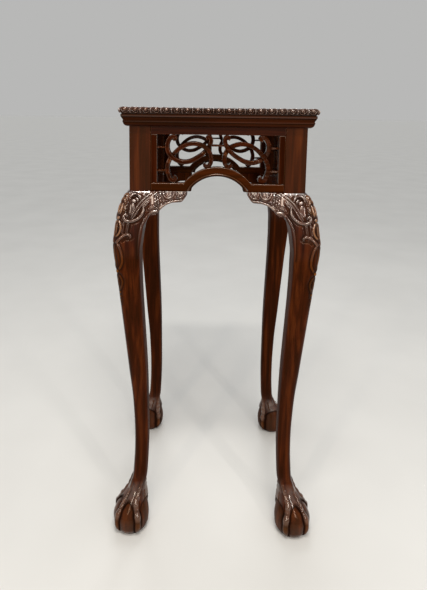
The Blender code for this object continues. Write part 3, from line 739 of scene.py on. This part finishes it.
# The opening's half width, and the radius of the arched rail's upper edge under it.
OPENING, BAND_RADIUS = 111.0, 77.727
FRET_BACK, FRET_FACE = 140.5, 158.5
STRAP, STRAP_DIP, TIE, TIE_DIP = 8.0, 4.0, 3.4, 3.0
SIDE_TIES, MIDDLE_TIE, TIE_STEPS = (763.8, 721.0), 767.4, 5
# The middle lines of the right-hand straps: distance from the middle plane, and height.
HANGING = (
    (81.6, 777.4), (78.2, 778.0), (77.2, 781.0), (80.2, 783.4), (85.6, 781.4), (90.3, 775.3),
    (92.6, 766.5), (91.0, 755.6), (84.8, 746.6), (75.2, 739.9), (63.0, 736.6), (50.2, 738.4),
    (38.2, 744.6), (26.8, 752.6), (17.2, 763.6), (12.9, 774.0), (13.6, 781.2), (17.4, 783.6),
    (20.4, 781.0), (18.4, 778.2),
)
STANDING = (
    (80.8, 709.4), (77.8, 708.4), (77.4, 704.6), (81.2, 701.9), (86.8, 706.2), (91.2, 716.5),
    (92.2, 728.5), (88.0, 741.0), (79.9, 752.0), (70.2, 761.2), (57.5, 768.3), (43.4, 770.6),
    (29.4, 767.4), (18.8, 760.4), (13.2, 750.0), (12.2, 739.5), (15.0, 731.6), (20.6, 728.6),
    (24.4, 731.2), (22.4, 734.4),
)
# The strap's section: across from its middle line, and out from its back.
STRAP_SECTION = (
    (-3.5, 0.0), (-4.0, 0.6), (-4.0, 16.4), (-3.85, 17.2), (-3.4, 17.8), (-2.7, 18.0), (-1.6, 17.75),
    (0.0, 17.6), (1.6, 17.75), (2.7, 18.0), (3.4, 17.8), (3.85, 17.2), (4.0, 16.4), (4.0, 0.6),
    (3.5, 0.0), (0.0, 0.0), (-3.5, 0.0),
)


def strap_rows(line, width, dip, taper):
    """Sections of a strap along its line, sunk by dip where it passes under another."""
    along = np.gradient(line, axis=0)
    along /= np.hypot(*along.T)[:, None]
    across = np.stack((-along[:, 1], along[:, 0]), 1)
    section = np.array(STRAP_SECTION)
    share = np.linspace(0, 1, len(line))
    thin = 1 - taper * slope(np.minimum(share, 1 - share), 0.1, 0)
    rows = []
    for spot, side, low, size in zip(line, across, dip, thin):
        flat = spot + side * (section[:, :1] / STRAP * width * size)
        sink = 1 - low / (FRET_FACE - FRET_BACK)
        deep = FRET_BACK + section[:, 1] * sink * (1 - 0.03 * (1 - size))
        rows.append(np.stack((flat[:, 0], -deep, flat[:, 1]), -1))
    rows = np.array(rows)
    # Where a strap meets the frame it is cut to sit against it.
    x, z = rows[..., 0], rows[..., 2]
    z[:] = np.clip(z, SILL + FIT, HEAD - FIT)
    x[:] = np.clip(x, -OPENING + FIT, OPENING - FIT)
    span = np.hypot(x, z - ARCH_CENTRE)
    lift = np.maximum(span, BAND_RADIUS + FIT) / span
    x *= lift
    z[:] = ARCH_CENTRE + (z - ARCH_CENTRE) * lift
    rows = capped(rows, closed=True)
    aside, out = abs(section.T)
    # The rounded edges get a painted sheen and wax, and the strap is darkened with painted shade where
    # it is sunk below the fret's face: where it dips under another strap, and all along the ties.
    wear_and_highlight = around(aside, 2.9, 0.6) * (out > 17)
    sunk = slope(np.pad(dip, 1, mode="edge"), 0, 2.2)[:, None]
    return rows, {"sawn": (aside > 3.9) * 1.0, "hollow": 0.8 * sunk,
                  "crest": 0.1 * wear_and_highlight, "wax": 0.25 * wear_and_highlight}


def even(points, step):
    """A fair line through the points with evenly spaced places on it."""
    line = drawn(points, 12)
    run = np.concatenate(([0], np.hypot(*np.diff(line, axis=0).T).cumsum()))
    places = np.linspace(0, run[-1], int(run[-1] / step))
    return np.stack([np.interp(places, run, line[:, k]) for k in (0, 1)], 1)


def fret():
    """The front fret: two straps each way, joined where they cross, and five ties."""
    def tie(start, end):
        line = np.linspace(start, end, TIE_STEPS)
        rows = strap_rows(line, TIE, np.full(TIE_STEPS, TIE_DIP), 0.0)
        return skin(*rows, angle=THIN_CREASE)

    parts = []
    for hand in (-1, 1):
        hanging, standing = (even(points, 1.6) * (hand, 1) for points in (HANGING, STANDING))
        for own, other, is_hanging in ((hanging, standing, True), (standing, hanging, False)):
            near, _ = follow(other, own)
            sink = STRAP_DIP * dome(near / 13.0, fullness=1.5)
            outer = abs(own[:, 0]) > 50
            under = outer == (is_hanging == (hand > 0))
            dip = np.where(under, sink, 0)
            parts.append(skin(*strap_rows(own, STRAP, dip, 0.35), angle=THIN_CREASE))
        parts += [tie((hand * 91, z), (hand * OPENING, z)) for z in SIDE_TIES]
    parts.append(tie((-13, MIDDLE_TIE), (13, MIDDLE_TIE)))
    combine(parts[0], parts[1:], "UNION")
    close_up(parts[0])
    bpy.ops.object.shade_smooth_by_angle(angle=np.radians(THIN_CREASE))
    return parts[0]


on_each_side(fret(), "fret_")

# ----------------------------------------------------------
# Knee brackets
# A carved ear of mahogany is glued against the knee and the rail on each side of a leg, and the
# knee's leaves and scrolls run on over it to its tip.
BRACKET_REACH, BRACKET_DROP, BRACKET_BACK, BRACKET_FACE = 67.0, 43.5, 139.0, 164.0
BRACKET_ROWS, BRACKET_COLUMNS = 72, 40
BRACKET_LAP, BRACKET_ROUND, ROLL_BACK, ROLL_HIGH = 0.9, 0.6, 2.2, 9.0
# The lower edge from the leg to the tip: share of the reach, and share of the drop.
BRACKET_EDGE = (
    (0, 1), (0.17, 0.95), (0.32, 0.72), (0.45, 0.57), (0.6, 0.49), (0.83, 0.465), (0.94, 0.3),
    (1, 0.14),
)


def bracket_rows():
    """Sections of the left bracket from the leg to its tip, with the carving's hollows and crests."""
    u = np.linspace(0, 1, BRACKET_ROWS)[:, None]
    share = np.linspace(0, 1, BRACKET_COLUMNS)[None, :]
    flat = u * u * (3 - 2 * u)
    depth = fair(BRACKET_EDGE, u) * BRACKET_DROP
    x = POST_INNER + BRACKET_LAP - u * (BRACKET_REACH + BRACKET_LAP + FIT) + 0 * share
    z = LEDGE - share * (depth - BRACKET_ROUND)
    y = (1 - flat) * leg_face(z) + flat * BRACKET_FACE
    fade = np.maximum(slope(z, LEDGE - 0.3, LEDGE - 1.9), 0.05)
    relief, hollow, crest = (part * fade for part in carved(x, z, KNEE_STROKES, KNEE_GROUND))
    rolled_back = ROLL_BACK * flat * slope(z, LEDGE - ROLL_HIGH, LEDGE) ** 2
    y = y + relief - 0.8 * slope(share, 0.94, 1) ** 2 - rolled_back

    def run_back(edge, level, shares):
        """Lines of points at shares of the way from an edge of the face to the bracket's back."""
        return [np.stack((-x[:, :1], -(edge * (1 - k) + BRACKET_BACK * k), level), -1) for k in shares]

    foot = run_back(y[:, -1:], LEDGE - depth + BRACKET_ROUND / 2, (0.06, 0.3, 0.6, 1.0))
    top = run_back(y[:, :1], np.full_like(u, LEDGE), (1.0, 0.6, 0.3, 0.0))
    rows = capped(np.concatenate([np.stack((-x, -y, z), -1), *foot, *top], 1))
    # The carving's grounds are darkened with dirt and painted shade, its raised parts are paled with
    # wear and painted highlight, and the wax lies heavier on them and along the top.
    brushed = np.maximum(crest, z > LEDGE - 5.0)
    marks = {"hollow": 0.7 * hollow, "crest": 0.3 * crest, "wax": 0.35 + 0.6 * brushed}
    return rows, bordered(marks, after=len(foot) + len(top))


rows, marks = bracket_rows()
brackets = {"_a": skin(rows, marks), "_b": skin(rows * (-1, 1, 1), marks)}
for turns, side in enumerate(SIDES):
    for end, piece in brackets.items():
        piece = copy_turned(piece, turns) if turns else piece
        finish(piece, "knee_bracket_" + side + end, leg_mahogany)

# ----------------------------------------------------------
# Corner blocks and screws
# Unseen hardwood blocks glued in the corners under the top, each with a countersunk steel screw
# up into the panel. The blocks are only sawn and planed.

# Planed hardwood, unpolished: pale brown and matt, with short upright flecks some 2.5 mm wide.
plain_hardwood, shader, place = new_finish("planed_hardwood")
wood = node(plain_hardwood, "Mapping", [("Scale", (1.0, 1.0, 0.1))], [("Vector", place)])
flecks = node(plain_hardwood, "TexNoise", [("Scale", 400.0), ("Detail", 3.0)],
              [("Vector", wood.outputs["Vector"])]).outputs["Fac"]
tone = node(plain_hardwood, "ValToRGB", links=[("Fac", flecks)],
            stops=((0.35, "6b4a2e"), (0.65, "94703f")))
saw = node(plain_hardwood, "Bump", [("Strength", 0.3), ("Distance", 0.0005)], [("Height", flecks)])
wire(plain_hardwood, shader, [("Roughness", 0.7)],
     [("Base Color", tone.outputs[0]), ("Normal", saw.outputs["Normal"])])

# Drawn steel wire, gone a little dull: a grey metal with faint spots some 1.5 mm across.
screw_steel, shader, place = new_finish("screw_steel")
spots = node(screw_steel, "TexNoise", [("Scale", 700.0), ("Detail", 3.0)],
             [("Vector", place)]).outputs["Fac"]
tone = node(screw_steel, "ValToRGB", links=[("Fac", spots)],
            stops=((0.35, "6a6864"), (0.65, "9a9893")))
dull = node(screw_steel, "MapRange", [("To Min", 0.3), ("To Max", 0.55)], [("Value", spots)])
wire(screw_steel, shader, [("Metallic", 1.0)],
     [("Base Color", tone.outputs[0]), ("Roughness", dull.outputs[0])])

for corner in CORNERS:
    name = "corner_block_" + corner
    finish(eased_copy(name), name, plain_hardwood)
    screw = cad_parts["top_screw_" + corner]
    screw.material_slots[0].material = screw_steel

# ----------------------------------------------------------
# Top panel
# A flat square of solid mahogany inside its carved edge, planed and polished. It is held from below
# by the screws through the corner blocks.
top_panel = eased_copy("top_panel")
top_panel.data.attributes.remove(top_panel.data.attributes["sawn"])
finish(top_panel, "top_panel", level_mahogany[0])

# ----------------------------------------------------------
# Cornice
# A mahogany moulding run with planes: an ovolo, a hollow and a square fillet. It is mitred at the
# corners and glued round the posts and rails under the top.
CORNICE_LOW, CORNICE_ROWS = 801.2, 41
# Reach beyond the post, and rise from the cornice's underside.
CORNICE_LINE = (
    (FIT, 0.0), (2.6, 0.0), (3.6, 0.15), (5.4, 0.8), (7.0, 1.9), (8.3, 3.4), (9.2, 5.1), (9.7, 7.0),
    (9.8, 7.5), (10.3, 7.7), (10.4, 8.0), (10.4, 8.9), (10.2, 9.1), (9.6, 9.2), (9.6, 12.2),
    (9.8, 13.4), (10.4, 14.7), (11.3, 15.9), (12.4, 16.8), (12.7, 17.2), (13.2, 17.4), (13.3, 17.7),
    (13.3, 21.0), (13.2, 21.4), (12.8, 21.5), (FIT, 21.5), (FIT, 0.0),
)


def mitred_rows(along, outline):
    """Sections of a moulding along one side, cut to a mitre at each end."""
    reach, z = np.moveaxis(outline, -1, 0)
    return capped(np.stack((along[:, None] * (reach - FIT), -reach, z), -1), closed=True)


section = np.array(CORNICE_LINE) + (POST_FACE, CORNICE_LOW)
rows = mitred_rows(np.linspace(-1, 1, CORNICE_ROWS), np.array([section] * CORNICE_ROWS))
rise = np.array(CORNICE_LINE)[:, 1]
# The cornice is darkened with painted shade below its two fillets and up under the carved edge, and a
# little all over; its two fillets get painted highlight lines, with wax.
corners = around(rise, 7.2, 0.6) + around(rise, 16.5, 0.7)
painted_shade = np.clip(corners + 0.3 + 0.5 * slope(rise, 18.6, 20.6), 0, 1)
wear_and_highlight = around(rise, 8.5, 0.5) + around(rise, 17.6, 0.3)
marks = {"hollow": painted_shade * (wear_and_highlight < 0.4), "crest": 0.15 * wear_and_highlight, "wax": 0.6 * wear_and_highlight}
cornice = skin(rows, marks)
keep_flat(cornice)
on_each_side(cornice, "cornice_")

# ----------------------------------------------------------
# Edge mouldings
# The top's edge is a carved egg-and-dart: eggs in shells with darts between them, cut in a rounded
# mahogany moulding that is mitred and glued round the panel.
TOP_HALF, EDGE_IN, EDGE_LOW, RIM, TOP = 177.9, 165.9, 823.0, 834.6, 836.0
EDGE_FOOT, RIM_OUT = 172.4, 167.4
EGGS, ROWS_PER_EGG, EGG_GROUND = 19, 28, 2.6
# Reach and height of the moulding's face before it is carved, from under its nose to its top.
EDGE_LINE = (
    (172.8, EDGE_LOW), (174.9, 823.9), (176.8, 826.0), (177.8, 828.8), (177.4, 831.6),
    (175.8, 833.9), (173.2, 835.4), (170.2, TOP),
)


def edge_rows():
    """Sections of the carved edge, with its hollows and crests."""
    line = even(EDGE_LINE, 0.4)
    normal = np.gradient(line, axis=0)[:, ::-1] * (1, -1)
    normal /= np.hypot(*normal.T)[:, None]
    along = np.linspace(-1, 1, EGGS * ROWS_PER_EGG + 1)
    side = abs(((along + 1) / 2 * EGGS % 1.0 - 0.5) * 2)[:, None]
    up = np.linspace(0, 1, len(line))[None, :]
    egg_way = np.hypot(side / 0.4, (up - 0.68) / 0.38)
    egg = 2.8 * dome(egg_way, fullness=0.5)
    shell_way = np.hypot(side / 0.66, (up - 0.7) / 0.62)
    shell = 1.5 * dome((shell_way - 0.96) / 0.12)
    dart_wide = 0.13 + 0.17 * slope(up, 0.45, 0.95)
    dart = EGG_GROUND * dome((1 - side) / dart_wide, 2.5) * slope(up, 0.06, 0.16)
    dart = dart - 1.4 * around(side, 1, 0.06) * slope(up, 0.6, 0.7)
    lift = np.maximum(np.maximum(egg, shell), dart)
    fade = slope(up, 0, 0.1)
    # The ground between eggs, shells and darts is darkened with dirt and painted shade, the lower face
    # tucked under the nose with painted shade, and the raised carving is paled a little.
    grounds = slope(lift, 1.44, 0.24) * fade
    underside = slope(up, 0.38, 0.23) * (1 - 0.7 * slope(lift, 0, 1.2))
    relief = np.minimum(lift - EGG_GROUND, 0) * fade
    reach = np.minimum(line[:, 0] + normal[:, 0] * relief, TOP_HALF)
    rise = np.clip(line[:, 1] + normal[:, 1] * relief, EDGE_LOW, TOP)
    # The plain underside before the carved face, and the rim and the inner side after it.
    low = FRAME_TOP + 0.02
    before = ((EDGE_IN, low), (EDGE_FOOT, low))
    after = ((RIM_OUT, RIM), (EDGE_IN, RIM), (EDGE_IN, low))
    before, after = (np.broadcast_to(part, (len(along), len(part), 2)) for part in (before, after))
    rows = mitred_rows(along, np.concatenate((before, np.stack((reach, rise), -1), after), 1))
    marks = {"hollow": np.maximum(grounds, 0.8 * underside),
             "crest": 0.2 * slope(lift, 0, 2) * fade,
             "wax": np.where(dart > egg, 0.9, 0.45)}
    return rows, bordered(marks, before.shape[1], after.shape[1])


on_each_side(skin(*edge_rows()), "edge_moulding_")

# ----------------------------------------------------------
# Studio
# A plain pale floor that runs out of sight into a backdrop of its own colour, soft lamps, and the
# camera at the photograph's place and angle.
bpy.ops.object.select_all(action="DESELECT")
bpy.ops.mesh.primitive_plane_add(size=400.0, location=(0.0, 0.0, 0.0))
floor = bpy.context.object
floor.name = "floor"

# Pale grey matt paint: it gives an even ground for the stand's shadow, with faint clouds a third of
# a metre across.
pale_floor, shader, place = new_finish("pale_floor")
cloud = node(pale_floor, "TexNoise", [("Scale", 3.0), ("Detail", 3.0)], [("Vector", place)])
tone = node(pale_floor, "ValToRGB", links=[("Fac", cloud.outputs["Fac"])],
            stops=((0.3, "d6d6d4"), (0.7, "dcdcda")))
wire(pale_floor, shader, [("Roughness", 0.6)], [("Base Color", tone.outputs[0])])
floor.data.materials.append(pale_floor)

world = bpy.data.worlds.new("studio")
world.use_nodes = True
bpy.context.scene.world = world
back = world.node_tree.nodes["Background"]
back.inputs["Color"].default_value = linear("b8b8b7")

# Wide light from far overhead, a long box above that lights the carving from over its top, soft boxes
# before and behind, and tall strips to each side that put long lights on the polish: each with its
# place in metres, its size (degrees across, or metres wide and tall), its strength and its colour.
LAMPS_AIM = Vector((0, 0, 0.45))
LAMPS = [
    ("SUN", "overhead_front", (0.3, -1.6, 3.4), 20.0, 0.32, "fffdf8"),
    ("SUN", "overhead_back", (-0.3, 1.8, 3.4), 20.0, 0.35, "ffffff"),
    ("AREA", "top_box", (0.0, -0.85, 2.2), (0.7, 0.12), 14.5, "fffaf2"),
    ("AREA", "soft_box", (0.0, -1.4, 1.6), (0.8, 0.8), 8.2, "fff2e0"),
    ("AREA", "back_box", (0.2, 1.3, 2.1), (0.4, 0.4), 5.5, "ffffff"),
    ("AREA", "left_strip", (-0.75, -1.55, 1.1), (0.06, 0.8), 4.0, "fff0dc"),
    ("AREA", "right_strip", (0.85, -1.5, 1.1), (0.06, 0.8), 5.0, "fff8f0"),
]
for kind, name, spot, size, power, colour in LAMPS:
    bpy.ops.object.light_add(type=kind, location=spot)
    lamp = bpy.context.object
    lamp.name = name + "_lamp"
    lamp.data.energy, lamp.data.color = power, linear(colour)[:3]
    if kind == "SUN":
        lamp.data.angle = np.radians(size)
    else:
        lamp.data.shape = "RECTANGLE"
        lamp.data.size, lamp.data.size_y = size
    lamp.rotation_euler = (LAMPS_AIM - lamp.location).to_track_quat("-Z", "Y").to_euler()

# The camera as fitted to the stand's own edges: sizes in the photograph's pixels, turns in radians.
PHOTO_WIDE, PHOTO_TALL, SENSOR = 427, 590, 36.0
FOCAL_PIXELS, CENTRE_X, CENTRE_Y = 486.714, 200.023, 185.0
YAW, PITCH, ROLL = -0.012, 0.14076, -0.01308
bpy.ops.object.camera_add(location=(-0.02114, -1.04255, 0.82051))
camera = bpy.context.object
camera.name = "photo_camera"
camera.data.sensor_width = SENSOR
camera.data.lens = FOCAL_PIXELS / PHOTO_TALL * SENSOR
camera.data.shift_x = (PHOTO_WIDE / 2 - CENTRE_X) / PHOTO_TALL
camera.data.shift_y = (CENTRE_Y - PHOTO_TALL / 2) / PHOTO_TALL
turn = Matrix.Rotation(-YAW, 4, "Z") @ Matrix.Rotation(np.pi / 2 - PITCH, 4, "X")
camera.rotation_euler = (turn @ Matrix.Rotation(-ROLL, 4, "Z")).to_euler()
camera.data.clip_start, camera.data.clip_end = 0.01, 1000.0
bpy.context.scene.camera = camera
bpy.context.scene.view_settings.view_transform = "Standard"

bpy.context.view_layer.update()
